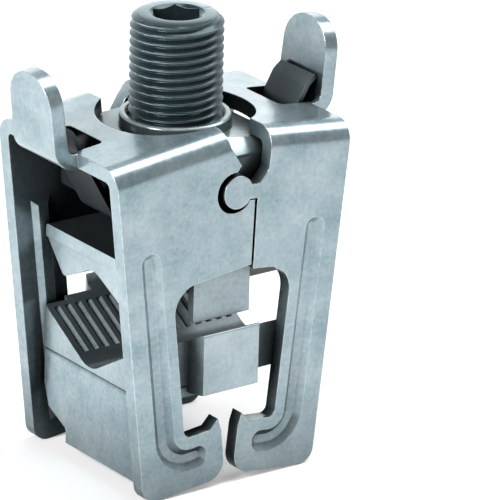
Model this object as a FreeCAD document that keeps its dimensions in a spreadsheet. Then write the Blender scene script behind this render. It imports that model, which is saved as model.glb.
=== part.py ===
import FreeCAD, Part
import math
import os

# Earthing bar terminal: two hinged sheet steel halves that hook round a bar,
# a threaded nut block under their roof, a hollow clamping screw, and two jaws
# that take a round conductor between them.
# Frame: screw axis is Z, the ground is z = 0, the front is -Y.
# The two halves are one stamping, used twice and turned half round about Z.

doc = FreeCAD.newDocument("earthing_bar_terminal")
sheet = doc.addObject("Spreadsheet::Sheet", "Sizes")
X_AXIS = FreeCAD.Vector(1, 0, 0)
Y_AXIS = FreeCAD.Vector(0, 1, 0)
Z_AXIS = FreeCAD.Vector(0, 0, 1)

# Heights and drops of the frame halves count from the hinge axis.
SIZES = {
    "sheet_thickness": 2.6,
    "half_width": 23.2,
    "half_depth": 17.7,
    "closed_lean": 6.2,
    "roof_height": 10.6,
    "leg_drop": 50.7,
    "fold_radius": 3.8,
    "foot_radius": 3.0,
    "hook_tip": 6.3,
    "hook_top_drop": 41.2,
    "hook_radius": 3.4,
    "nib_height": 1.5,
    "window_side": 13.9,
    "window_top_drop": 13.8,
    "window_radius": 4.8,
    "hook_corner_radius": 1.4,
    "lobe_radius": 2.9,
    "lobe_pull": 0.7,
    "lobe_clearance": 0.75,
    "neck_half_width": 1.25,
    "neck_gap": 0.3,
    "neck_shoulder_drop": 1.2,
    "neck_root_radius": 0.8,
    "seam_reach": 4.9,
    "seam_slant": 0.75,
    "seam_gap": 0.3,
    "horn_reach": 1.7,
    "horn_rise": 0.8,
    "roof_cut_reach": 6.6,
    "roof_cut_step": 2.3,
    "roof_cut_rise": 5.0,
    "roof_cut_corner_radius": 1.5,
    "collar_hole_radius": 12.8,
    "bead_centre": 17.85,
    "bead_width": 3.9,
    "bead_depth": 1.0,
    "bead_rise": 0.8,
    "bead_flank": 50.0,
    "bead_top_drop": 5.7,
    "bead_foot_drop": 45.3,
    "bead_foot_end": 9.7,
    "bead_corner_radius": 5.0,
    "ear_offset": 4.4,
    "ear_half_width": 6.4,
    "ear_height": 24.6,
    "ear_taper": 0.5,
    "ear_tip_radius": 5.6,
    "ear_inner_radius": 1.5,
    "slot_inner_reach": 17.2,
    "slot_half_width": 5.2,
    "slot_corner_radius": 1.0,
    "nut_half_length": 13.2,
    "nut_side_play": 0.4,
    "nut_roof_play": 0.3,
    "nut_shoulder_drop": 2.7,
    "nut_underside_drop": 5.5,
    "nut_edge_radius": 0.7,
    "nut_crown_margin": 1.0,
    "collar_radius": 9.58,
    "collar_height": 9.4,
    "thread_radius": 8.0,
    "thread_play": 0.05,
    "thread_chamfer": 0.6,
    "screw_top": 26.9,
    "screw_face_radius": 6.6,
    "screw_face_drop": 0.4,
    "screw_rim_radius": 7.6,
    "screw_tip_chamfer": 1.4,
    "screw_foot_chamfer": 1.0,
    "hex_across_flats": 8.0,
    "hex_depth": 9.0,
    "spigot_radius": 4.4,
    "spigot_play": 0.08,
    "spigot_tail": 0.8,
    "ring_thickness": 1.0,
    "ring_outer_radius": 6.0,
    "ring_play": 0.05,
    "ring_recess_play": 0.3,
    "ring_gap": 3.0,
    "groove_depth": 0.6,
    "spring_thickness": 0.9,
    "spring_half_width": 4.8,
    "spring_ring_width": 3.6,
    "spring_hole_play": 0.6,
    "spring_bend_radius": 2.0,
    "spring_foot_reach": 14.6,
    "spring_tip_height": 12.6,
    "spring_ear_gap": 0.3,
    "spring_lip_reach": 1.7,
    "spring_lip_rise": 1.2,
    "block_top_drop": 11.9,
    "block_half_length": 16.7,
    "block_side_play": 1.3,
    "block_end_step": 0.3,
    "block_side_height": 2.3,
    "block_foot_reach": 9.0,
    "block_foot_drop": 19.8,
    "block_vee_drop": 15.9,
    "block_vee_slope": 26.0,
    "block_web": 2.7,
    "block_edge_radius": 0.6,
    "block_vee_radius": 4.0,
    "lug_half_width": 5.8,
    "lug_thickness": 1.6,
    "lug_play": 0.6,
    "lug_drop": 23.2,
    "lug_root_drop": 3.0,
    "lug_root_overlap": 1.0,
    "jaw_half_length": 16.9,
    "jaw_side_play": 1.6,
    "jaw_wing_half_length": 12.4,
    "jaw_wing_step": 0.8,
    "jaw_vee_slope": 30.0,
    "jaw_vee_radius": 5.0,
    "jaw_web": 0.6,
    "jaw_edge_radius": 0.4,
    "jaw_underside_play": 0.1,
    "jaw_base_drop": 34.3,
    "boss_half_width": 6.8,
    "boss_chamfer": 1.1,
    "boss_hang": 1.1,
    "tooth_pitch": 2.15,
    "tooth_gap_radius": 0.95,
    "tooth_gap_depth": 0.6,
    "tooth_span": 31.0,
    "tooth_margin": 1.0,
    "plate_tail_reach": 7.0,
    "plate_drop": 50.0,
    "plate_bend_radius": 1.2,
    "plate_notch_half_width": 6.8,
    "plate_notch_height": 7.6,
    "plate_notch_slant": 2.6,
    "plate_notch_ease": 1.4,
    "plate_notch_radius": 1.0,
    "peg_radius": 2.0,
    "peg_play": 0.05,
    "peg_reach": 10.8,
    "peg_spread": 7.0,
}

for row, (name, value) in enumerate(SIZES.items(), start=1):
    sheet.set("A%d" % row, name)
    sheet.set("B%d" % row, str(value))
    sheet.setAlias("B%d" % row, name)
doc.recompute()


def size(name):
    return float(sheet.get(name))


def bind(thing, **expressions):
    for prop, expression in expressions.items():
        thing.setExpression(prop.replace("__", "."), expression)


def turned(point, degrees):
    """A point (x, z) swung about the hinge axis, top towards +X."""
    angle = math.radians(degrees)
    x, z = point
    return (x * math.cos(angle) + z * math.sin(angle), z * math.cos(angle) - x * math.sin(angle))


lean = size("closed_lean")
foot_radius = size("foot_radius")
lean_angle = math.radians(lean)
foot_arm = size("half_width") - foot_radius
foot_drop = size("leg_drop") - foot_radius
hinge_height = foot_drop * math.cos(lean_angle) + foot_arm * math.sin(lean_angle) + foot_radius


# Sketch planes: sketch x runs along the first letter, sketch y along the second.
PLANES = {
    "XY": FreeCAD.Rotation(),
    "XZ": FreeCAD.Rotation(X_AXIS, 90),
    "YZ": FreeCAD.Rotation(FreeCAD.Vector(1, 1, 1), 120),
}
ORIGIN_PLANES = {"XY": "XY_Plane", "XZ": "XZ_Plane", "YZ": "YZ_Plane"}


def rounded_outline(corners):
    """Edges of a closed outline whose corners are (x, y) or (x, y, radius)."""
    ends = []
    count = len(corners)
    for index, corner in enumerate(corners):
        here = FreeCAD.Vector(corner[0], corner[1], 0)
        before = FreeCAD.Vector(corners[index - 1][0], corners[index - 1][1], 0)
        after = FreeCAD.Vector(corners[(index + 1) % count][0], corners[(index + 1) % count][1], 0)
        radius = corner[2] if len(corner) > 2 else 0
        back = (before - here).normalize()
        ahead = (after - here).normalize()
        if radius == 0:
            ends.append((here, here, None))
            continue
        half_angle = back.getAngle(ahead) / 2
        setback = radius / math.tan(half_angle)
        middle_way = (back + ahead).normalize()
        middle = here + middle_way * (radius / math.sin(half_angle) - radius)
        ends.append((here + back * setback, here + ahead * setback, middle))
    edges = []
    for index, (start, end, middle) in enumerate(ends):
        if middle is not None:
            edges.append(Part.Arc(start, middle, end))
        edges.append(Part.LineSegment(end, ends[(index + 1) % count][0]))
    return edges


def loose_sketch(name, plane, corners):
    sketch = doc.addObject("Sketcher::SketchObject", name)
    sketch.Placement = FreeCAD.Placement(FreeCAD.Vector(), PLANES[plane])
    sketch.addGeometry(rounded_outline(corners), False)
    return sketch


def body_sketch(body, name, plane, corners=()):
    """A sketch on one of the body's own origin planes; sketch y is Z on the upright planes."""
    sketch = body.newObject("Sketcher::SketchObject", name)
    for plane_object in body.Origin.OriginFeatures:
        if plane_object.Role == ORIGIN_PLANES[plane]:
            sketch.AttachmentSupport = (plane_object, "")
    sketch.MapMode = "FlatFace"
    if corners:
        sketch.addGeometry(rounded_outline(corners), False)
    return sketch


def extrusion(name, base, direction, forward, backward="0"):
    solid = doc.addObject("Part::Extrusion", name)
    solid.Base = base
    solid.DirMode = "Custom"
    solid.Dir = direction
    solid.Solid = True
    bind(solid, LengthFwd=forward, LengthRev=backward)
    return solid


def cylinder(name, radius, height, place):
    solid = doc.addObject("Part::Cylinder", name)
    bind(solid, Radius=radius, Height=height)
    solid.Placement = place
    return solid


def along_y(x, y, z):
    """A cylinder's place: it starts at the point and runs towards +Y."""
    return FreeCAD.Placement(FreeCAD.Vector(x, y, z), FreeCAD.Rotation(X_AXIS, -90))


def fused(name, shapes):
    result = doc.addObject("Part::MultiFuse", name)
    result.Shapes = shapes
    result.Refine = True
    return result


def common(name, base, tool):
    result = doc.addObject("Part::Common", name)
    result.Base = base
    result.Tool = tool
    return result


def cut(name, base, tool):
    result = doc.addObject("Part::Cut", name)
    result.Base = base
    result.Tool = tool
    result.Refine = True
    return result


# Frame half. It is drawn flat on the hinge axis, reaching towards +X.
width = size("half_width")
depth = size("half_depth")
thickness = size("sheet_thickness")
inner_depth = depth - thickness
roof = size("roof_height")
ceiling = roof - thickness
drop = size("leg_drop")
fold_radius = size("fold_radius")
window_side = size("window_side")
window_top = -size("window_top_drop")
hook_tip = size("hook_tip")
hook_top = -size("hook_top_drop")
nib_height = size("nib_height")
leg_overrun = size("foot_radius")


def leg_foot():
    """Leg outline shared by both legs, from the roof's outer end down and round the hook."""
    return [
        (width, roof),
        (width, -drop, foot_radius),
        (hook_tip, -drop, size("hook_radius")),
        (hook_tip, hook_top - nib_height / 2),
        (hook_tip + nib_height / 3, hook_top + nib_height),
        (hook_tip + 1.5 * nib_height, hook_top),
        (window_side, hook_top, size("hook_corner_radius")),
        (window_side, window_top, size("window_radius")),
    ]


seam_top = (size("seam_reach"), -size("neck_half_width") - size("neck_shoulder_drop"))
seam_foot = (size("seam_reach") + size("seam_slant"), window_top)
cut_reach = size("roof_cut_reach")
neck = size("neck_half_width")
lobe_radius = size("lobe_radius")
roof_cut_level = neck + size("roof_cut_step")

lobe_leg = leg_foot() + [
    seam_foot,
    seam_top,
    (seam_top[0], -neck),
    (lobe_radius / 2, -neck),
    (lobe_radius / 2, neck),
    (seam_top[0], neck, size("neck_root_radius")),
    (cut_reach, roof_cut_level, size("roof_cut_corner_radius")),
    (cut_reach, neck + size("roof_cut_rise")),
    (cut_reach, roof),
]

# The other half's edge follows the seam with a gap, seen from its own side.
seam_gap = size("seam_gap")
socket_radius = lobe_radius + size("lobe_clearance")
lip_level = -neck - size("neck_gap")
lip_foot = turned((seam_foot[0] - seam_gap, seam_foot[1] - lobe_radius), 2 * lean)
lip_tip = turned((seam_top[0] - 2 * seam_gap, lip_level), 2 * lean)
lip_root = turned((lobe_radius * 0.75, lip_level), 2 * lean)
lip_share = (window_top - lip_tip[1]) / (lip_foot[1] - lip_tip[1])
lip_window = lip_tip[0] + lip_share * (lip_foot[0] - lip_tip[0])
horn_tip = (size("horn_reach"), socket_radius + size("horn_rise"))
socket_leg = leg_foot() + [
    (-lip_window, window_top),
    (-lip_tip[0], lip_tip[1]),
    (-lip_root[0], lip_root[1]),
    (0, 0),
    (-horn_tip[0] / 2, socket_radius),
    (-horn_tip[0], horn_tip[1]),
    (0, ceiling),
    (0, roof),
]

ear_outer = width + size("ear_offset")
ear_inner = ear_outer - thickness
ear_top = size("ear_height")
ear_half = size("ear_half_width")
ear_bend = size("ear_inner_radius")


def bead_outline(rounded):
    """J shaped stiffening bead at its full width, seen from the front."""
    x = size("bead_centre")
    half = size("bead_width") / 2
    top = -size("bead_top_drop")
    foot = -size("bead_foot_drop")
    tip = size("bead_foot_end")
    bend = size("bead_corner_radius")
    end_radius = 0.9 * half
    return [
        (x - half, top, rounded * end_radius),
        (x - half, foot + half, rounded * (bend - half)),
        (tip, foot + half, rounded * end_radius),
        (tip, foot - half, rounded * end_radius),
        (x + half, foot - half, rounded * (bend + half)),
        (x + half, top, rounded * end_radius),
    ]


def bead_tool(name, face, inward, height, rounded):
    """The bead's outline raised from a face and narrowing on the way: a groove or a rib."""
    outline = loose_sketch(name + "_outline", "XZ", bead_outline(rounded))
    outline.Placement.Base = FreeCAD.Vector(0, face, 0)
    tool = extrusion(name, outline, Y_AXIS * inward, height)
    bind(tool, TaperAngle="-Sizes.bead_flank")
    return tool


def frame_half(label, turn):
    def own(word):
        return label + "_" + word

    channel = loose_sketch(own("channel"), "YZ", [
        (-depth, -drop - leg_overrun),
        (-depth, roof, fold_radius),
        (depth, roof, fold_radius),
        (depth, -drop - leg_overrun),
        (inner_depth, -drop - leg_overrun),
        (inner_depth, ceiling, fold_radius - thickness),
        (-inner_depth, ceiling, fold_radius - thickness),
        (-inner_depth, -drop - leg_overrun),
    ])
    shell = extrusion(own("shell"), channel, X_AXIS, "Sizes.half_width", "Sizes.lobe_radius * 2")

    front = loose_sketch(own("front_outline"), "XZ", lobe_leg)
    bind(front, Placement__Base__y="-Sizes.half_depth")
    front_slab = extrusion(own("front_slab"), front, Y_AXIS, "Sizes.fold_radius")
    rear = loose_sketch(own("rear_outline"), "XZ", socket_leg)
    bind(rear, Placement__Base__y="Sizes.half_depth - Sizes.fold_radius")
    rear_slab = extrusion(own("rear_slab"), rear, Y_AXIS, "Sizes.fold_radius")
    flat = depth - fold_radius
    plan = loose_sketch(own("roof_outline"), "XY", [
        (cut_reach, -flat),
        (width, -flat),
        (width, flat),
        (0, flat),
        (0, 0),
        (cut_reach, 0),
    ])
    roof_slab = extrusion(own("roof_slab"), plan, Z_AXIS, "Sizes.roof_height")
    collar_hole = cylinder(own("collar_hole"), "Sizes.collar_hole_radius", "Sizes.roof_height * 2",
                           FreeCAD.Placement())
    roof_plate = cut(own("roof_plate"), roof_slab, collar_hole)
    outline = fused(own("outline"), [front_slab, roof_plate, rear_slab])
    folded = common(own("folded"), shell, outline)

    lobe = cylinder(own("lobe"), "Sizes.lobe_radius", "Sizes.sheet_thickness",
                    along_y(size("lobe_pull"), -depth, 0))
    ear_root = width - fold_radius
    ear_profile = loose_sketch(own("ear_profile"), "XZ", [
        (ear_root, ceiling),
        (ear_outer, ceiling, ear_bend + thickness),
        (ear_outer, ear_top),
        (ear_inner, ear_top),
        (ear_inner, roof, ear_bend),
        (ear_root, roof),
    ])
    bind(ear_profile, Placement__Base__y="-Sizes.ear_half_width")
    ear_strip = extrusion(own("ear_strip"), ear_profile, Y_AXIS, "Sizes.ear_half_width * 2")
    taper = size("ear_taper")
    ear_front = loose_sketch(own("ear_outline"), "YZ", [
        (-ear_half, 0),
        (ear_half, 0),
        (ear_half - taper, ear_top, size("ear_tip_radius")),
        (taper - ear_half, ear_top, size("ear_tip_radius")),
    ])
    ear_block = extrusion(own("ear_block"), ear_front, X_AXIS, "Sizes.half_width + Sizes.ear_offset")
    ear = common(own("ear"), ear_strip, ear_block)

    ribs = []
    grooves = []
    for side, way in (("front", -1), ("rear", 1)):
        grooves.append(bead_tool(own(side + "_groove"), way * depth, -way, "Sizes.bead_depth", 1))
        ribs.append(bead_tool(own(side + "_rib"), way * inner_depth, -way, "Sizes.bead_rise", 0))

    slot = loose_sketch(own("slot_outline"), "XY", [
        (size("slot_inner_reach"), -size("slot_half_width"), size("slot_corner_radius")),
        (ear_inner, -size("slot_half_width")),
        (ear_inner, size("slot_half_width")),
        (size("slot_inner_reach"), size("slot_half_width"), size("slot_corner_radius")),
    ])
    slot_tool = extrusion(own("slot"), slot, Z_AXIS, "Sizes.roof_height + Sizes.ear_inner_radius")
    socket = cylinder(own("socket"), "Sizes.lobe_radius + Sizes.lobe_clearance",
                      "Sizes.sheet_thickness * 2", along_y(0, inner_depth - thickness, 0))

    solid = fused(own("solid"), [folded, lobe, ear] + ribs)
    half = cut(own("finished"), solid, fused(own("openings"), grooves + [slot_tool, socket]))
    half.Label = label
    stand = FreeCAD.Rotation(Z_AXIS, turn) * FreeCAD.Rotation(Y_AXIS, lean)
    half.Placement = FreeCAD.Placement(FreeCAD.Vector(0, 0, hinge_height), stand)
    return half


frame_half("right_half", 0)
frame_half("left_half", 180)


# Nut block: a plate under the roof with a threaded collar that stands up through it.
# Heights of all the pieces on the screw axis count from the hinge axis.
on_hinge_axis = FreeCAD.Placement(FreeCAD.Vector(0, 0, hinge_height), FreeCAD.Rotation())


def level(z, x=0, y=0):
    return FreeCAD.Placement(FreeCAD.Vector(x, y, z), FreeCAD.Rotation())


nut_half_length = size("nut_half_length")
nut_half_depth = inner_depth - size("nut_side_play")
nut_top = ceiling / math.cos(lean_angle) - size("nut_roof_play")
nut_end_top = nut_top - nut_half_length * math.tan(lean_angle)
nut_shoulder = nut_top - size("nut_shoulder_drop")
nut_bottom = -size("nut_underside_drop")
collar_radius = size("collar_radius")
chamfer = size("thread_chamfer")
thread_radius = size("thread_radius")


def nut_block():
    edge = size("nut_edge_radius")
    crown = collar_radius + size("nut_crown_margin")
    profile = loose_sketch("nut_profile", "YZ", [
        (-nut_half_depth, nut_bottom, edge),
        (nut_half_depth, nut_bottom, edge),
        (nut_half_depth, nut_shoulder, edge),
        (crown, nut_top),
        (-crown, nut_top),
        (-nut_half_depth, nut_shoulder, edge),
    ])
    bar = extrusion("nut_bar", profile, X_AXIS, "Sizes.nut_half_length", "Sizes.nut_half_length")
    ridge = loose_sketch("nut_ridge", "XZ", [
        (-nut_half_length, nut_bottom),
        (nut_half_length, nut_bottom),
        (nut_half_length, nut_end_top),
        (0, nut_top),
        (-nut_half_length, nut_end_top),
    ])
    roofed = extrusion("nut_roofed", ridge, Y_AXIS, "Sizes.half_depth", "Sizes.half_depth")
    plate = common("nut_plate", bar, roofed)
    collar = cylinder("nut_collar", "Sizes.collar_radius", "Sizes.collar_height", FreeCAD.Placement())
    rim = doc.addObject("Part::Chamfer", "nut_rim")
    rim.Base = collar
    doc.recompute()
    rim_edge = 1 + max(range(len(collar.Shape.Edges)),
                       key=lambda index: collar.Shape.Edges[index].CenterOfMass.z)
    rim.Edges = [(rim_edge, chamfer / 2, chamfer / 2)]
    blank = fused("nut_blank", [plate, rim])
    bore = cylinder("nut_bore", "Sizes.thread_radius + Sizes.thread_play",
                    "Sizes.nut_underside_drop + Sizes.collar_height", level(nut_bottom))
    mouth = doc.addObject("Part::Cone", "nut_mouth")
    bind(mouth, Radius1="Sizes.thread_radius", Height="Sizes.thread_chamfer",
         Radius2="Sizes.thread_radius + Sizes.thread_chamfer")
    mouth.Placement = level(size("collar_height") - chamfer)
    block = cut("nut_finished", blank, fused("nut_hole", [bore, mouth]))
    block.Label = "nut_block"
    block.Placement = on_hinge_axis


def bent_strip(line, thick, bend):
    """Outline of a bent strip: its upper face follows the line, the other lies to the right of it."""
    points = [FreeCAD.Vector(x, z, 0) for x, z in line]
    ways = [(after - before).normalize() for before, after in zip(points, points[1:])]
    sides = [way.cross(Z_AXIS) for way in ways]
    start = points[0] + sides[0] * thick
    end = points[-1] + sides[-1] * thick
    upper = [(points[0].x, points[0].y)]
    lower = [(start.x, start.y)]
    for index, point in enumerate(points[1:-1]):
        corner = point + (sides[index] + sides[index + 1]) * (
            thick / (1 + sides[index].dot(sides[index + 1])))
        turns_left = ways[index].cross(ways[index + 1]).z > 0
        upper.append((point.x, point.y, bend if turns_left else bend + thick))
        lower.append((corner.x, corner.y, bend + thick if turns_left else bend))
    upper.append((points[-1].x, points[-1].y))
    lower.append((end.x, end.y))
    return upper + lower[::-1]


def spring_clip():
    """A leaf spring: a ring under the nut and two arms that rise to the ears and end in a lip."""
    leaf = size("spring_thickness")
    top = nut_bottom
    foot = size("spring_foot_reach")
    tip_height = size("spring_tip_height")
    lip_reach = size("spring_lip_reach")
    lip_rise = size("spring_lip_rise")
    face_height = (tip_height + ear_inner * math.sin(lean_angle)) / math.cos(lean_angle)
    face = turned((ear_inner, face_height), lean)[0]
    tip = face - size("spring_ear_gap") - leaf * lip_rise / math.hypot(lip_reach, lip_rise)
    arm_end = (tip - lip_reach, tip_height - lip_rise)
    outline = bent_strip([
        (-tip, tip_height),
        (-arm_end[0], arm_end[1]),
        (-foot, top),
        (foot, top),
        arm_end,
        (tip, tip_height),
    ], leaf, size("spring_bend_radius"))
    profile = loose_sketch("spring_profile", "XZ", outline)
    bind(profile, Placement__Base__y="-Sizes.spring_half_width")
    strip = extrusion("spring_strip", profile, Y_AXIS, "Sizes.spring_half_width * 2")
    ring = cylinder("spring_ring", "Sizes.thread_radius + Sizes.spring_ring_width",
                    "Sizes.spring_thickness", level(top - leaf))
    hole = cylinder("spring_hole", "Sizes.thread_radius + Sizes.spring_hole_play",
                    "Sizes.spring_thickness * 3", level(top - 2 * leaf))
    clip = cut("spring_finished", fused("spring_blank", [strip, ring]), hole)
    clip.Label = "spring_clip"
    clip.Placement = on_hinge_axis


# Clamping screw: a stud with a hexagon socket, standing on the pressing block.
block_top = -size("block_top_drop")
web = size("block_web")
spigot_radius = size("spigot_radius")
ring_thickness = size("ring_thickness")
ring_play = size("ring_play")
ring_top = block_top - web - ring_play
groove_radius_inner = spigot_radius - size("groove_depth")
spigot_end = ring_top - ring_thickness - 2 * ring_play - size("spigot_tail")


def clamping_screw():
    body = doc.addObject("PartDesign::Body", "Screw")
    body.Label = "clamping_screw"
    top = size("screw_top")
    groove_low = ring_top - ring_thickness - ring_play
    foot = size("screw_foot_chamfer")
    rim = (size("screw_rim_radius"), top - size("screw_face_drop"))
    profile = body_sketch(body, "screw_profile", "XZ", [
        (0, spigot_end),
        (spigot_radius, spigot_end),
        (spigot_radius, groove_low),
        (groove_radius_inner, groove_low),
        (groove_radius_inner, ring_top + ring_play),
        (spigot_radius, ring_top + ring_play),
        (spigot_radius, block_top),
        (thread_radius - foot, block_top),
        (thread_radius, block_top + foot),
        (thread_radius, top - size("screw_tip_chamfer")),
        rim,
        (size("screw_face_radius"), top),
        (0, top),
    ])
    turning = body.newObject("PartDesign::Revolution", "screw_turning")
    turning.Profile = profile
    turning.ReferenceAxis = (profile, ["V_Axis"])
    turning.Angle = 360
    doc.recompute()
    hexagon = body_sketch(body, "socket_outline", "XY", [
        (size("hex_across_flats") / math.sqrt(3) * math.cos(math.radians(60 * side)),
         size("hex_across_flats") / math.sqrt(3) * math.sin(math.radians(60 * side)))
        for side in range(6)
    ])
    bind(hexagon, AttachmentOffset__Base__z="Sizes.screw_top")
    socket = body.newObject("PartDesign::Pocket", "hexagon_socket")
    socket.Profile = hexagon
    bind(socket, Length="Sizes.hex_depth")
    body.Placement = on_hinge_axis
    return body


def retaining_ring():
    """An open snap ring in the spigot's groove, under the pressing block's web."""
    blank = cylinder("ring_blank", "Sizes.ring_outer_radius", "Sizes.ring_thickness",
                     level(ring_top - ring_thickness))
    inside = cylinder("ring_inside",
                      "Sizes.spigot_radius - Sizes.groove_depth + Sizes.ring_play",
                      "Sizes.ring_thickness", level(ring_top - ring_thickness))
    opening = doc.addObject("Part::Box", "ring_opening")
    bind(opening, Length="Sizes.ring_outer_radius", Width="Sizes.ring_gap",
         Height="Sizes.ring_thickness")
    opening.Placement = level(ring_top - ring_thickness, 0, -size("ring_gap") / 2)
    ring = cut("ring_finished", blank, fused("ring_hollow", [inside, opening]))
    ring.Label = "retaining_ring"
    ring.Placement = on_hinge_axis


# Pressing block: the upper jaw, with an inverted vee and a hanging lug front and rear.
block_slope = math.tan(math.radians(size("block_vee_slope")))
block_half_depth = inner_depth - size("block_side_play")
lug_outer = inner_depth - size("lug_play")
lug_inner = lug_outer - size("lug_thickness")


def padded(body, name, sketch, length, midplane):
    pad = body.newObject("PartDesign::Pad", name)
    pad.Profile = sketch
    pad.Midplane = midplane
    bind(pad, Length=length)
    doc.recompute()
    return pad


def pocketed(body, name, sketch, length, reverse):
    before = body.Shape.Volume
    pocket = body.newObject("PartDesign::Pocket", name)
    pocket.Profile = sketch
    pocket.Reversed = reverse
    bind(pocket, Length=length)
    doc.recompute()
    if before - body.Shape.Volume < 1:
        raise ValueError(name + " cuts nothing")
    return pocket


def pressing_block():
    body = doc.addObject("PartDesign::Body", "Block")
    body.Label = "pressing_block"
    foot = size("block_foot_reach")
    foot_level = -size("block_foot_drop")
    side = block_top - size("block_side_height")
    apex = -size("block_vee_drop")
    vee_foot = (apex - foot_level) / block_slope
    edge = size("block_edge_radius")
    end = body_sketch(body, "block_end", "YZ", [
        (-block_half_depth, block_top, edge),
        (-block_half_depth, side),
        (-foot, foot_level, edge),
        (-vee_foot, foot_level),
        (0, apex, size("block_vee_radius")),
        (vee_foot, foot_level),
        (foot, foot_level, edge),
        (block_half_depth, side),
        (block_half_depth, block_top, edge),
    ])
    padded(body, "block_pad", end, "Sizes.block_half_length * 2", True)
    lug_drop = -size("lug_drop")
    lug_root = foot - size("lug_root_overlap")
    lug_crown = block_top - edge
    lug_underside = side - size("lug_root_drop")
    for name, way in (("front", -1), ("rear", 1)):
        lug = body_sketch(body, name + "_lug_side", "YZ", [
            (way * lug_root, lug_crown),
            (way * lug_outer, lug_crown, edge),
            (way * lug_outer, lug_drop),
            (way * lug_inner, lug_drop),
            (way * lug_inner, lug_underside),
            (way * lug_root, lug_underside),
        ])
        padded(body, name + "_lug", lug, "Sizes.lug_half_width * 2", True)
    half_length = size("block_half_length")
    set_back = half_length - size("block_end_step")
    for name, way in (("left", -1), ("right", 1)):
        step = body_sketch(body, name + "_step_outline", "XY", [
            (way * set_back, -depth),
            (way * (half_length + 1), -depth),
            (way * (half_length + 1), depth),
            (way * set_back, depth),
        ])
        bind(step, AttachmentOffset__Base__z="-Sizes.block_top_drop - Sizes.block_side_height")
        pocketed(body, name + "_step", step, "Sizes.block_foot_drop", False)
    hole = body_sketch(body, "spigot_hole_outline", "XY")
    bind(hole, AttachmentOffset__Base__z="-Sizes.block_top_drop")
    hole.addGeometry(Part.Circle(FreeCAD.Vector(), Z_AXIS, spigot_radius + size("spigot_play")), False)
    pocketed(body, "spigot_hole", hole, "Sizes.block_web * 4", False)
    recess = body_sketch(body, "ring_recess_outline", "XY")
    bind(recess, AttachmentOffset__Base__z="-Sizes.block_top_drop - Sizes.block_web")
    recess_radius = size("ring_outer_radius") + size("ring_recess_play")
    recess.addGeometry(Part.Circle(FreeCAD.Vector(), Z_AXIS, recess_radius), False)
    pocketed(body, "ring_recess", recess, "Sizes.block_web * 4", False)
    body.Placement = on_hinge_axis
    return body


# Lower jaw: a toothed vee block whose bosses run in the windows of the halves.
jaw_base = -size("jaw_base_drop")
jaw_tilt = math.radians(size("jaw_vee_slope"))
jaw_vee_radius = size("jaw_vee_radius")
jaw_vee = jaw_base + size("jaw_web") - jaw_vee_radius * (1 / math.cos(jaw_tilt) - 1)
jaw_depth = inner_depth - size("jaw_side_play")


def vee_level(y):
    return jaw_vee + math.tan(jaw_tilt) * y


def plan_corner(x_inner, x_outer, y_inner, y_outer, x_way, y_way):
    corners = [
        (x_way * x_inner, y_way * y_inner),
        (x_way * x_outer, y_way * y_inner),
        (x_way * x_outer, y_way * y_outer),
        (x_way * x_inner, y_way * y_outer),
    ]
    return corners if x_way * y_way > 0 else corners[::-1]


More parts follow.
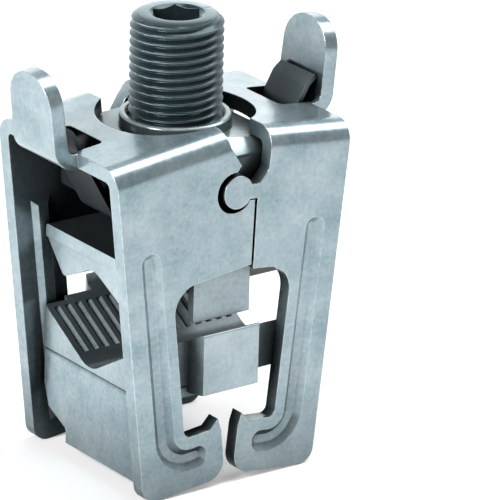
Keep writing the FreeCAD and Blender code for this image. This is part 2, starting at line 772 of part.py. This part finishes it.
def lower_jaw():
    body = doc.addObject("PartDesign::Body", "JawBody")
    boss_bottom = jaw_base - size("boss_hang")
    edge = size("jaw_edge_radius")
    end = body_sketch(body, "jaw_end", "YZ", [
        (-depth, boss_bottom),
        (-depth, vee_level(depth), edge),
        (0, jaw_vee, jaw_vee_radius),
        (depth, vee_level(depth), edge),
        (depth, boss_bottom),
    ])
    padded(body, "jaw_pad", end, "Sizes.jaw_half_length * 2", True)
    half_length = size("jaw_half_length")
    wing = size("jaw_wing_half_length")
    boss = size("boss_half_width")
    wing_depth = jaw_depth + size("jaw_wing_step")
    beyond = depth + 1
    for x_way in (-1, 1):
        for y_way in (-1, 1):
            place = "%s_%s" % ("left" if x_way < 0 else "right", "front" if y_way < 0 else "rear")
            end_zone = body_sketch(body, place + "_end_outline", "XY",
                                   plan_corner(wing, half_length + 1, jaw_depth, beyond, x_way, y_way))
            pocketed(body, place + "_end", end_zone, "Sizes.jaw_base_drop * 2", False)
            wing_zone = body_sketch(body, place + "_wing_outline", "XY",
                                    plan_corner(boss, wing, wing_depth, beyond, x_way, y_way))
            pocketed(body, place + "_wing", wing_zone, "Sizes.jaw_base_drop * 2", False)
            cheek = size("boss_chamfer")
            slant = body_sketch(body, place + "_slant_outline", "XY", [
                (x_way * (boss - cheek), y_way * depth),
                (x_way * boss, y_way * (depth - 2 * cheek)),
                (x_way * (boss + 1), y_way * (depth - 2 * cheek)),
                (x_way * (boss + 1), y_way * beyond),
                (x_way * (boss - cheek), y_way * beyond),
            ])
            pocketed(body, place + "_slant", slant, "Sizes.jaw_base_drop * 2", False)
    under_reach = wing_depth + size("jaw_underside_play")
    under = body_sketch(body, "underside_outline", "YZ", [
        (-under_reach, boss_bottom - 1),
        (-under_reach, jaw_base),
        (under_reach, jaw_base),
        (under_reach, boss_bottom - 1),
    ])
    underside = pocketed(body, "underside", under, "Sizes.jaw_half_length * 2", False)
    underside.Midplane = True
    body.Tip = underside
    doc.recompute()

    # The gap between two teeth is a square bar laid edge down along the slope.
    lift = (size("tooth_gap_radius") - size("tooth_gap_depth")) / math.cos(jaw_tilt)
    margin = size("tooth_margin")
    start = jaw_vee_radius * math.sin(jaw_tilt) + margin
    run = (jaw_depth - margin - start) / math.cos(jaw_tilt)
    teeth = []
    count = int(size("tooth_span") / size("tooth_pitch")) // 2
    for step in range(-count, count + 1):
        for way in (-1, 1):
            gap = doc.addObject("Part::Prism", "tooth_gap")
            gap.Polygon = 4
            bind(gap, Circumradius="Sizes.tooth_gap_radius", Height="%f" % run)
            gap.Placement = FreeCAD.Placement(
                FreeCAD.Vector(step * size("tooth_pitch"), way * start, vee_level(start) + lift),
                FreeCAD.Rotation(X_AXIS, -way * (90 - size("jaw_vee_slope"))))
            teeth.append(gap)
    pegs = []
    for way in (-1, 1):
        peg = cylinder("peg", "Sizes.peg_radius", "Sizes.sheet_thickness + 1",
                       level(jaw_base - thickness, -size("peg_reach"), way * size("peg_spread")))
        pegs.append(peg)
    pegged = fused("jaw_pegged", [body] + pegs)
    jaw = cut("jaw_finished", pegged, fused("tooth_gaps", teeth))
    jaw.Label = "lower_jaw"
    jaw.Placement = on_hinge_axis


def jaw_plate():
    """Bent sheet under the vee block, with a cheek that hangs down at the left end."""
    outer = -size("jaw_half_length")
    tail = size("plate_tail_reach")
    low = -size("plate_drop")
    bend = size("plate_bend_radius")
    profile = loose_sketch("plate_profile", "XZ", [
        (tail, jaw_base),
        (outer, jaw_base, bend),
        (outer, low),
        (outer + thickness, low),
        (outer + thickness, jaw_base - thickness),
        (tail, jaw_base - thickness),
    ])
    reach = "Sizes.half_depth - Sizes.sheet_thickness - Sizes.jaw_side_play"
    angle = extrusion("plate_angle", profile, Y_AXIS, reach, reach)
    notch = size("plate_notch_half_width")
    notch_top = low + size("plate_notch_height")
    slant = size("plate_notch_slant")
    ease = size("plate_notch_ease")
    notch_radius = size("plate_notch_radius")
    end = loose_sketch("plate_end", "YZ", [
        (-jaw_depth, jaw_base),
        (-jaw_depth, low),
        (notch, low),
        (notch, low + slant, notch_radius),
        (jaw_depth - ease, notch_top - slant, notch_radius),
        (jaw_depth, notch_top + ease),
        (jaw_depth, jaw_base),
    ])
    end_block = extrusion("plate_end_block", end, X_AXIS, "Sizes.plate_tail_reach",
                          "Sizes.jaw_half_length")
    holes = []
    for way in (-1, 1):
        hole = cylinder("peg_hole", "Sizes.peg_radius + Sizes.peg_play", "Sizes.sheet_thickness * 2",
                        level(jaw_base - 1.5 * thickness, -size("peg_reach"), way * size("peg_spread")))
        holes.append(hole)
    plate = cut("plate_finished", common("plate_blank", angle, end_block), fused("peg_holes", holes))
    plate.Label = "jaw_plate"
    plate.Placement = on_hinge_axis


nut_block()
spring_clip()
clamping_screw()
retaining_ring()
pressing_block()
lower_jaw()
jaw_plate()
doc.recompute()

NODES = [
    "left_half",
    "right_half",
    "nut_block",
    "spring_clip",
    "clamping_screw",
    "retaining_ring",
    "pressing_block",
    "lower_jaw",
    "jaw_plate",
]

for thing in doc.Objects:
    if "Invalid" in thing.State or "Error" in thing.State:
        raise RuntimeError("failed: " + thing.Name)

os.makedirs("parts", exist_ok=True)
for node in NODES:
    piece = doc.getObjectsByLabel(node)[0]
    if piece.Shape.isNull() or not piece.Shape.isValid():
        raise RuntimeError("bad shape: " + node)
    box = piece.Shape.BoundBox
    print("%-16s solids %d volume %8.1f x %6.2f %6.2f y %6.2f %6.2f z %6.2f %6.2f" % (
        node, len(piece.Shape.Solids), piece.Shape.Volume,
        box.XMin, box.XMax, box.YMin, box.YMax, box.ZMin, box.ZMax))
    piece.Shape.exportStep("parts/%s.step" % node)
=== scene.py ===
import math

import bmesh
import bpy
from mathutils import Matrix, Vector


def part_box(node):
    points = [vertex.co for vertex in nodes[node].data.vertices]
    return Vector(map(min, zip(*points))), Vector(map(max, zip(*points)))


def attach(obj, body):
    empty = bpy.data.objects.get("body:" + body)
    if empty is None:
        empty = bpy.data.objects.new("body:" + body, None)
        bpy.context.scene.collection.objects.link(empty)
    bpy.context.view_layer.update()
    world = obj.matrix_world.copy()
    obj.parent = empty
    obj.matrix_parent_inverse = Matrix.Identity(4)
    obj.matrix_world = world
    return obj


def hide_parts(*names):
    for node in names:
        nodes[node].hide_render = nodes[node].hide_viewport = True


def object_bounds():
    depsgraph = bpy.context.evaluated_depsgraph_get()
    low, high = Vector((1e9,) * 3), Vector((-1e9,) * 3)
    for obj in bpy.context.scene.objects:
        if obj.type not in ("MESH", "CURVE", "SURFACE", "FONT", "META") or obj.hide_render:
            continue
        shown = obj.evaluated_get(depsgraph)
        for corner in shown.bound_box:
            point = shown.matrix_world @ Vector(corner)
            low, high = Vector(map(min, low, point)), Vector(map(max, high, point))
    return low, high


# Earthing bar terminal: zinc plated sheet halves, nut, screw, spring and jaws.
# Metres. Z is the screw's axis, z = 0 the level of the lowest corners, -Y the front.

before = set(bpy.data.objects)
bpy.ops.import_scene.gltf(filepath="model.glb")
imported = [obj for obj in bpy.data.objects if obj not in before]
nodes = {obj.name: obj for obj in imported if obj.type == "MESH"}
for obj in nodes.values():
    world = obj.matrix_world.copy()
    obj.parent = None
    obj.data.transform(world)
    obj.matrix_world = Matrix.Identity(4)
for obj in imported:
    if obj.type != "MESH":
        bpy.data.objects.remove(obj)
cad_low, cad_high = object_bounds()

MM = 0.001

# The photograph's view, from the left of the front and above. The lens is long, and
# the object stands left of the picture's middle, so the camera aims beside it.
CAMERA_AZIMUTH = -35.68
CAMERA_ELEVATION = 20.76
CAMERA_ROLL = 1.51
CAMERA_DISTANCE = 897.1 * MM
CAMERA_LENS = 378.3
CAMERA_SENSOR = 36.0
LOOK_HEIGHT = 34.95 * MM
AIM_RIGHT = 13.29 * MM
AIM_UP = 1.67 * MM
LOOK_AT = Vector((0, 0, LOOK_HEIGHT))


# Screw

SCREW_COLUMNS = 96
THREAD_PITCH = 1.5 * MM
THREAD_DEPTH = 0.92 * MM
# Share of the pitch, and share of the depth, once round the thread's profile.
THREAD_PROFILE = (
    (0.05, 0.0),
    (0.10, 0.10),
    (0.36, 0.93),
    (0.41, 1.0),
    (0.59, 1.0),
    (0.64, 0.93),
    (0.90, 0.10),
    (0.95, 0.0),
)
# Turns beyond the stud's length, so that the helix covers it at both ends.
SPARE_TURNS = 2
FACE_RADIUS = 6.6 * MM
RIM_RADIUS = 7.6 * MM
RIM_DROP = 0.4 * MM
TIP_CHAMFER = 1.4 * MM
FOOT_CHAMFER = 1.0 * MM
HEXAGON_ACROSS = 8.0 * MM
HEXAGON_DEPTH = 9.0 * MM
HEXAGON_SIDE = math.radians(60)
MOUTH_RADIUS = 4.75 * MM
MOUTH_SLOPE = 0.7
SPIGOT_RADIUS = 4.4 * MM
SPIGOT_GROOVE = 0.6 * MM
SPIGOT_CHAMFER = 0.4 * MM
WELD_DISTANCE = 1e-7
SMOOTH_ANGLE = math.radians(32)


def envelope(z, foot, top, major):
    """Largest radius that the chamfered stud has at height z."""
    if z > top - TIP_CHAMFER:
        below = top - z
        if below < RIM_DROP:
            return FACE_RADIUS + (RIM_RADIUS - FACE_RADIUS) * below / RIM_DROP
        return RIM_RADIUS + (major - RIM_RADIUS) * (below - RIM_DROP) / (TIP_CHAMFER - RIM_DROP)
    return min(major, major - FOOT_CHAMFER + (z - foot))


def hexagon_radius(angle):
    """Distance from the axis to the hexagon socket's wall, in the direction of the angle."""
    from_flat = (angle % HEXAGON_SIDE) - HEXAGON_SIDE / 2
    return HEXAGON_ACROSS / 2 / math.cos(from_flat)


def lip_height(angle, top):
    """Height at which the socket's conical mouth meets its flats."""
    return top - (MOUTH_RADIUS - hexagon_radius(angle)) * MOUTH_SLOPE


class Skin:
    """A closed mesh round the screw's axis, built from rings of one size."""

    def __init__(self):
        self.mesh = bmesh.new()
        self.angles = [2 * math.pi * column / SCREW_COLUMNS for column in range(SCREW_COLUMNS)]

    def vertex(self, radius, angle, z):
        return self.mesh.verts.new((radius * math.cos(angle), radius * math.sin(angle), z))

    def face(self, *corners):
        self.mesh.faces.new(corners)

    def ring(self, radius_at, height_at):
        return [self.vertex(radius_at(angle), angle, height_at(angle)) for angle in self.angles]

    def plain_ring(self, radius, z):
        return self.ring(lambda angle: radius, lambda angle: z)

    def join(self, *rings):
        """Walls between each ring and the next."""
        for lower, upper in zip(rings, rings[1:]):
            for column in range(SCREW_COLUMNS):
                after = (column + 1) % SCREW_COLUMNS
                self.face(lower[column], lower[after], upper[after], upper[column])

    def close(self, rim, z, upward):
        """A flat end, from the rim to the axis."""
        middle = self.mesh.verts.new((0, 0, z))
        for column in range(SCREW_COLUMNS):
            first, second = rim[column], rim[(column + 1) % SCREW_COLUMNS]
            if not upward:
                first, second = second, first
            self.face(first, second, middle)

    def thread(self, foot, top, major):
        """The helical rows. After one turn a row meets the one a pitch higher."""
        steps = len(THREAD_PROFILE)
        turns = math.ceil((top - foot) / THREAD_PITCH) + SPARE_TURNS
        rows = []
        for number in range(turns * steps):
            share, depth = THREAD_PROFILE[number % steps]
            start = foot + (number // steps - 1 + share) * THREAD_PITCH
            row = []
            for angle in self.angles:
                z = min(max(start + angle / (2 * math.pi) * THREAD_PITCH, foot), top)
                radius = min(major - depth * THREAD_DEPTH, envelope(z, foot, top, major))
                row.append(self.vertex(radius, angle, z))
            rows.append(row)
        for number, (row, above) in enumerate(zip(rows, rows[1:])):
            for column in range(SCREW_COLUMNS - 1):
                self.face(row[column], row[column + 1], above[column + 1], above[column])
            if number + 1 + steps < len(rows):
                self.face(row[-1], rows[number + steps][0], rows[number + 1 + steps][0], above[-1])

    def as_mesh(self, name):
        bmesh.ops.remove_doubles(self.mesh, verts=self.mesh.verts, dist=WELD_DISTANCE)
        bmesh.ops.dissolve_degenerate(self.mesh, edges=self.mesh.edges, dist=WELD_DISTANCE)
        data = bpy.data.meshes.new(name)
        self.mesh.to_mesh(data)
        self.mesh.free()
        return data


def screw_mesh():
    """The stud with its helical thread, hexagon socket and grooved spigot, as one skin."""
    low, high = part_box("clamping_screw")
    ring_low, ring_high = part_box("retaining_ring")
    block_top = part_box("pressing_block")[1].z
    major = (high.x - low.x) / 2
    foot, top = block_top, high.z
    skin = Skin()
    skin.thread(foot, top, major)

    socket_floor = top - HEXAGON_DEPTH
    face_edge = skin.plain_ring(FACE_RADIUS, top)
    mouth = skin.plain_ring(MOUTH_RADIUS, top)
    lip = skin.ring(hexagon_radius, lambda angle: lip_height(angle, top))
    floor_ring = skin.ring(hexagon_radius, lambda angle: socket_floor)
    skin.join(face_edge, mouth, lip, floor_ring)
    skin.close(floor_ring, socket_floor, True)

    groove = SPIGOT_RADIUS - SPIGOT_GROOVE
    spigot = (
        (SPIGOT_RADIUS - SPIGOT_CHAMFER, low.z),
        (SPIGOT_RADIUS, low.z + SPIGOT_CHAMFER),
        (SPIGOT_RADIUS, ring_low.z),
        (groove, ring_low.z),
        (groove, ring_high.z),
        (SPIGOT_RADIUS, ring_high.z),
        (SPIGOT_RADIUS, foot),
        (major - FOOT_CHAMFER, foot),
    )
    rings = [skin.plain_ring(radius, z) for radius, z in spigot]
    skin.join(*rings)
    skin.close(rings[0], low.z, False)
    return skin.as_mesh("threaded_screw")


def finished(name, data):
    """An object of the mesh, smooth but for its sharp edges."""
    data.polygons.foreach_set("use_smooth", [True] * len(data.polygons))
    data.set_sharp_from_angle(angle=SMOOTH_ANGLE)
    piece = bpy.data.objects.new(name, data)
    bpy.context.scene.collection.objects.link(piece)
    return piece


# Materials

# Sockets of a node that mixes two colours.
MIX_SHARE, MIX_FIRST, MIX_SECOND, MIX_COLOUR = 0, 6, 7, 2


class Recipe:
    """The node tree of a material or of the world, built a node at a time."""

    def __init__(self, owner, output, coordinates):
        owner.use_nodes = True
        self.tree = owner.node_tree
        self.tree.nodes.clear()
        self.output = self.add(output)
        self.place = self.add("ShaderNodeTexCoord").outputs[coordinates]

    def add(self, kind, **settings):
        node = self.tree.nodes.new(kind)
        for key, value in settings.items():
            setattr(node, key, value)
        return node

    def feed(self, socket, value):
        """Links the socket to the value if that is a socket too, and else sets it."""
        if isinstance(value, bpy.types.NodeSocket):
            self.tree.links.new(value, socket)
        else:
            socket.default_value = value

    def set(self, node, **inputs):
        """Feeds a node's inputs; a socket's name has _ for its spaces."""
        for key, value in inputs.items():
            self.feed(node.inputs[key.replace("_", " ")], value)
        return node

    def noise(self, vector, scale, detail, roughness):
        node = self.set(self.add("ShaderNodeTexNoise"), Vector=vector, Scale=scale,
                        Detail=detail, Roughness=roughness)
        return node.outputs["Fac"]

    def stretched(self, scale, turn):
        """The place, drawn out and turned."""
        node = self.set(self.add("ShaderNodeMapping"), Vector=self.place, Scale=scale,
                        Rotation=turn)
        return node.outputs["Vector"]

    def spread(self, value, low, high, to_low=0.0, to_high=1.0):
        """The value, mapped from low..high to to_low..to_high and clamped there."""
        node = self.set(self.add("ShaderNodeMapRange"), Value=value, From_Min=low, From_Max=high,
                        To_Min=to_low, To_Max=to_high)
        return node.outputs["Result"]

    def math(self, operation, first, second):
        node = self.add("ShaderNodeMath", operation=operation)
        self.feed(node.inputs[0], first)
        self.feed(node.inputs[1], second)
        return node.outputs["Value"]

    def vector_math(self, operation, first):
        node = self.add("ShaderNodeVectorMath", operation=operation)
        self.feed(node.inputs[0], first)
        return node

    def along(self, axis):
        """The place's measure along one axis."""
        return self.set(self.add("ShaderNodeSeparateXYZ"), Vector=self.place).outputs[axis]

    def blend(self, share, first, second):
        node = self.add("ShaderNodeMix", data_type="RGBA")
        self.feed(node.inputs[MIX_SHARE], share)
        self.feed(node.inputs[MIX_FIRST], first)
        self.feed(node.inputs[MIX_SECOND], second)
        return node.outputs[MIX_COLOUR]


def surface(name):
    """A new material, and the recipe for its nodes."""
    material = bpy.data.materials.new(name)
    return material, Recipe(material, "ShaderNodeOutputMaterial", "Object")


# Noises, each by its cells to the metre, its detail and its roughness: clouds over the
# plating, fine crystals, and a grain that only the relief has.
CLOUDS = (150.0, 5.0, 0.6)
CRYSTALS = (1300.0, 4.0, 0.6)
GRAIN = (9000.0, 2.0, 0.55)
NOISE_LOW, NOISE_HIGH = 0.3, 0.7
CLOUD_SHARE = 0.6
CRYSTAL_SHARE = 0.4
MEAN_TONE = 0.5
TONE_REACH = 0.16

# Faint scratches: the cells to the metre along each axis, the turn of them, and the band of
# the noise over which a scratch begins to show.
STREAKS = (1.0, 2.0, 0.55)
SCRATCHES = (
    ((2600.0, 2600.0, 90.0), (0.0, 0.22, 0.0), (0.69, 0.74)),
    ((75.0, 75.0, 3000.0), (0.3, 0.1, 0.0), (0.70, 0.75)),
)

# Edges are painted bright, partly as rubbed wear and partly as a painted highlight, patchily so,
# where the rounded normal leaves the flat one.
FLAT_COSINE = 0.995
EDGE_COSINE = 0.86
PATCH_HIGH = 0.62
PATCH_LEAST = 0.25
BEVEL_SAMPLES = 6

# Painted shade: colour and gloss are darkened deep inside, between parts and near the floor, where
# ambient occlusion finds cover. Some pieces also get painted shade below a height: the nut under
# its collar, and the spring under the roof.
OPEN_SKY = 0.76
SKY_SAMPLES = 16
COLLAR_FOOT = 59.0 * MM
ROOF_SLOT = 60.5 * MM
SHADE_FADE = 1.5 * MM
SHADE_SHARE = 0.25

GRAIN_RELIEF = 0.25
CRYSTAL_RELIEF = 0.6
BUMP_STRENGTH = 0.08
BUMP_DEPTH = 0.05 * MM
FULL_GLOSS = 0.5
SHEEN_ROUGHNESS = 0.35
SHEEN_TINT = (0.66, 0.90, 0.97, 1.0)


def scratched(make, strength):
    """Thin lines up and across the piece."""
    up, across = [
        make.spread(make.noise(make.stretched(scale, turn), *STREAKS), *band)
        for scale, turn, band in SCRATCHES
    ]
    return make.math("MULTIPLY", make.math("MAXIMUM", up, across), strength)


def worn_and_highlit_edges(make, normal, crystals):
    """1 on edges, worn bright and painted with a highlight; 0 on the flat."""
    turn = make.vector_math("DOT_PRODUCT", normal)
    make.feed(turn.inputs[1], make.add("ShaderNodeNewGeometry").outputs["Normal"])
    bent = make.spread(turn.outputs["Value"], FLAT_COSINE, EDGE_COSINE)
    patches = make.spread(crystals, NOISE_LOW, PATCH_HIGH, PATCH_LEAST, 1.0)
    return make.math("MULTIPLY", bent, patches)


def painted_recess_shade(make, reach, shut, least, shaded_below):
    """Painted shade: 1 where the surface lies open, down to the least share in recesses, between
    parts, near the floor and below the given height.
    """
    sky = make.set(make.add("ShaderNodeAmbientOcclusion", samples=SKY_SAMPLES), Distance=reach)
    shade_factor = make.spread(sky.outputs["AO"], shut, OPEN_SKY, least, 1.0)
    if shaded_below is not None:
        step = make.spread(make.along("Z"), shaded_below - SHADE_FADE, shaded_below, SHADE_SHARE, 1.0)
        shade_factor = make.math("MULTIPLY", shade_factor, step)
    return shade_factor


def plated(name, dark, light, edge, metallic, roughness, mottle=1.0, scratches=0.12,
           edge_radius=0.35 * MM, recess=0.05, recess_from=0.25, recess_reach=38 * MM,
           sheen=0.0, shaded_below=None):
    """Plated steel: soft mottling, fine grain, faint scratches, edges worn bright with a painted
    highlight, and painted shade in recesses.
    """
    material, make = surface(name)
    clouds = make.noise(make.place, *CLOUDS)
    crystals = make.noise(make.place, *CRYSTALS)
    grain = make.noise(make.place, *GRAIN)
    tone = make.math("ADD", make.math("MULTIPLY", clouds, CLOUD_SHARE),
                     make.math("MULTIPLY", crystals, CRYSTAL_SHARE))
    tone = make.spread(tone, MEAN_TONE - TONE_REACH / mottle, MEAN_TONE + TONE_REACH / mottle)
    lines = scratched(make, scratches)
    bevel = make.set(make.add("ShaderNodeBevel", samples=BEVEL_SAMPLES), Radius=edge_radius)
    rounded = bevel.outputs["Normal"]
    # Painted shade from ambient occlusion and height, for the colour and the gloss.
    shade_factor = painted_recess_shade(make, recess_reach, recess_from, recess, shaded_below)

    colour = make.blend(tone, (*dark, 1.0), (*light, 1.0))
    colour = make.blend(lines, colour, (*edge, 1.0))
    # Bright edge colour: partly rubbed wear, partly a painted highlight.
    colour = make.blend(worn_and_highlit_edges(make, rounded, crystals), colour, (*edge, 1.0))
    # The colour darkened by the painted shade.
    shaded = make.set(make.vector_math("SCALE", colour), Scale=shade_factor).outputs["Vector"]

    relief = make.math("ADD", make.math("MULTIPLY", grain, GRAIN_RELIEF),
                       make.math("MULTIPLY", crystals, CRYSTAL_RELIEF))
    relief = make.math("SUBTRACT", relief, lines)
    bump = make.set(make.add("ShaderNodeBump"), Strength=BUMP_STRENGTH, Distance=BUMP_DEPTH,
                    Height=relief, Normal=rounded)
    shader = make.set(
        make.add("ShaderNodeBsdfPrincipled"),
        Base_Color=shaded,
        Metallic=metallic,
        Roughness=make.spread(crystals, NOISE_LOW, NOISE_HIGH, *roughness),
        # The gloss is cut by the painted shade too.
        Specular_IOR_Level=make.math("MULTIPLY", shade_factor, FULL_GLOSS),
        Normal=bump.outputs["Normal"],
        Sheen_Weight=sheen,
        Sheen_Roughness=SHEEN_ROUGHNESS,
        Sheen_Tint=SHEEN_TINT,
    )
    make.set(make.output, Surface=shader.outputs["BSDF"])
    return material


# Least and greatest roughness of each finish.
GLOSSY = (0.20, 0.26)
SATIN = (0.29, 0.36)
MATT = (0.30, 0.40)

sheet_zinc = plated(
    "zinc_sheet",
    dark=(0.205, 0.295, 0.33),
    light=(0.395, 0.475, 0.505),
    edge=(0.66, 0.73, 0.76),
    metallic=0.65,
    roughness=GLOSSY,
    mottle=1.05,
    scratches=0.2,
)
nut_zinc = plated(
    "zinc_nut",
    dark=(0.22, 0.29, 0.31),
    light=(0.36, 0.44, 0.46),
    edge=(0.62, 0.70, 0.72),
    metallic=0.6,
    roughness=GLOSSY,
    recess=0.1,
    recess_from=0.12,
    # Painted shade below the collar's foot.
    shaded_below=COLLAR_FOOT,
)
JAW_STEEL = {
    "dark": (0.29, 0.37, 0.40),
    "light": (0.43, 0.52, 0.55),
    "edge": (0.62, 0.69, 0.72),
    "metallic": 0.5,
    "roughness": SATIN,
    "mottle": 1.3,
}
# The jaw and the block differ only in their painted edge highlight and painted shade.
jaw_zinc = plated("zinc_jaw", **JAW_STEEL, edge_radius=0.13 * MM, recess=0.27, recess_from=0.64)
block_zinc = plated("zinc_block", **JAW_STEEL, edge_radius=0.2 * MM, recess=0.1, recess_from=0.38)
spring_dark = plated(
    "dark_spring",
    dark=(0.055, 0.08, 0.09),
    light=(0.09, 0.12, 0.132),
    edge=(0.24, 0.29, 0.31),
    metallic=0.3,
    roughness=MATT,
    scratches=0.1,
    edge_radius=0.2 * MM,
    # Painted shade below the slot, where the spring lies under the roof.
    shaded_below=ROOF_SLOT,
)
# The near-black colour stands in for the dark surroundings that the zinc screw reflects: a painted
# reflection. Close painted shade darkens the thread's roots, and the bright edge colour paints
# highlights on the crests.
screw_zinc = plated(
    "zinc_screw",
    dark=(0.016, 0.030, 0.035),
    light=(0.034, 0.056, 0.063),
    edge=(0.22, 0.29, 0.31),
    metallic=0.6,
    roughness=GLOSSY,
    scratches=0.0,
    edge_radius=0.08 * MM,
    recess=0.4,
    recess_from=0.22,
    recess_reach=1.2 * MM,
    sheen=1.5,
)

threaded_screw = finished("threaded_screw", screw_mesh())
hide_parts("clamping_screw")
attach(threaded_screw, "screw")
threaded_screw.data.materials.append(screw_zinc)

FINISHES = {
    "left_half": sheet_zinc,
    "right_half": sheet_zinc,
    "jaw_plate": sheet_zinc,
    "nut_block": nut_zinc,
    "spring_clip": spring_dark,
    "retaining_ring": spring_dark,
    "pressing_block": block_zinc,
    "lower_jaw": jaw_zinc,
}
for name, finish in FINISHES.items():
    for slot in nodes[name].material_slots:
        slot.material = finish


# Floor, backdrop and light

FLOOR_SIZE = 6.0
FLOOR_CELLS = 8
FLOOR_DROP = 0.05 * MM
FLOOR_ROUGHNESS = 0.9
FLOOR_SPECKS = (40.0, 3.0, 0.55)
FLOOR_DARK = (0.80, 0.80, 0.80, 1.0)
FLOOR_LIGHT = (0.82, 0.82, 0.82, 1.0)
# Away from the lamps' pool the floor glows more, so that it stays white to the horizon.
FLOOR_GLOW = 0.33
FAR_GLOW = 0.9
LIT_RADIUS = 0.35
FAR_RADIUS = 1.8

WHITE = (1.0, 1.0, 1.0, 1.0)
# The backdrop is white behind the object and falls to grey overhead and on the near side:
# from and to along the axis, and the strengths there.
BACKDROP_HEIGHTS = (0.25, 0.9, 1.0, 0.35)
BACKDROP_SIDES = (-0.6, 0.2, 0.3, 1.0)
AMBIENT_TINT = (0.93, 0.97, 1.0, 1.0)
AMBIENT_STRENGTH = 0.12

# Name, place, width, height and power of each softbox.
SOFTBOXES = (
    ("left_key", (-0.78, -0.12, 0.46), 0.40, 0.40, 9.6),
    ("top_light", (0.36, -0.05, 0.80), 0.42, 1.05, 8.6),
    ("rear_light", (0.52, 0.70, 0.32), 0.40, 0.46, 0.58),
)


def seen_directly(make):
    """1 for rays from the camera and for what gloss and glass show, else 0."""
    rays = make.add("ShaderNodeLightPath").outputs
    direct = make.math("MAXIMUM", rays["Is Camera Ray"], rays["Is Glossy Ray"])
    return make.math("MAXIMUM", direct, rays["Is Transmission Ray"])


def white_floor():
    bpy.ops.mesh.primitive_grid_add(x_subdivisions=FLOOR_CELLS, y_subdivisions=FLOOR_CELLS,
                                    size=FLOOR_SIZE, location=(0, 0, cad_low.z - FLOOR_DROP))
    floor = bpy.context.object
    floor.name = "floor"
    material, make = surface("floor_white")
    speck = make.spread(make.noise(make.place, *FLOOR_SPECKS), NOISE_LOW, NOISE_HIGH)
    reach = make.vector_math("LENGTH", make.place).outputs["Value"]
    level = make.spread(reach, LIT_RADIUS, FAR_RADIUS, FLOOR_GLOW, FAR_GLOW)
    shader = make.set(
        make.add("ShaderNodeBsdfPrincipled"),
        Base_Color=make.blend(speck, FLOOR_DARK, FLOOR_LIGHT),
        Roughness=FLOOR_ROUGHNESS,
        Specular_IOR_Level=0.0,
        Emission_Color=WHITE,
        Emission_Strength=make.math("MULTIPLY", seen_directly(make), level),
    )
    make.set(make.output, Surface=shader.outputs["BSDF"])
    floor.data.materials.append(material)


def studio_world():
    world = bpy.data.worlds.new("studio")
    bpy.context.scene.world = world
    make = Recipe(world, "ShaderNodeOutputWorld", "Generated")
    height = make.spread(make.along("Z"), *BACKDROP_HEIGHTS)
    side = make.spread(make.along("Y"), *BACKDROP_SIDES)
    backdrop = make.set(make.add("ShaderNodeBackground"), Color=WHITE,
                        Strength=make.math("MULTIPLY", height, side))
    ambient = make.set(make.add("ShaderNodeBackground"), Color=AMBIENT_TINT,
                       Strength=AMBIENT_STRENGTH)
    chosen = make.add("ShaderNodeMixShader")
    for socket, source in zip(chosen.inputs, (seen_directly(make), ambient.outputs["Background"],
                                              backdrop.outputs["Background"])):
        make.feed(socket, source)
    make.set(make.output, Surface=chosen.outputs["Shader"])


def softbox(name, place, width, height, power):
    lamp = bpy.data.lights.new(name, "AREA")
    lamp.shape = "RECTANGLE"
    lamp.size = width
    lamp.size_y = height
    lamp.energy = power
    box = bpy.data.objects.new(name, lamp)
    box.location = place
    box.rotation_euler = (LOOK_AT - box.location).to_track_quat("-Z", "Y").to_euler()
    bpy.context.scene.collection.objects.link(box)


def rolled_view(direction):
    """Turn of a camera that looks in the direction, with the photograph's roll."""
    roll = Matrix.Rotation(math.radians(CAMERA_ROLL), 3, "Z")
    return direction.to_track_quat("-Z", "Y").to_matrix() @ roll


def photograph_camera():
    data = bpy.data.cameras.new("camera")
    data.lens = CAMERA_LENS
    data.sensor_width = CAMERA_SENSOR
    camera = bpy.data.objects.new("camera", data)
    azimuth, elevation = math.radians(CAMERA_AZIMUTH), math.radians(CAMERA_ELEVATION)
    level = math.cos(elevation)
    back = Vector((math.sin(azimuth) * level, -math.cos(azimuth) * level, math.sin(elevation)))
    place = LOOK_AT + back * CAMERA_DISTANCE
    aim = LOOK_AT + rolled_view(-back) @ Vector((AIM_RIGHT, AIM_UP, 0))
    camera.matrix_world = Matrix.Translation(place) @ rolled_view(aim - place).to_4x4()
    bpy.context.scene.collection.objects.link(camera)
    bpy.context.scene.camera = camera


white_floor()
studio_world()
for placed in SOFTBOXES:
    softbox(*placed)
photograph_camera()
bpy.context.scene.view_settings.view_transform = "Standard"
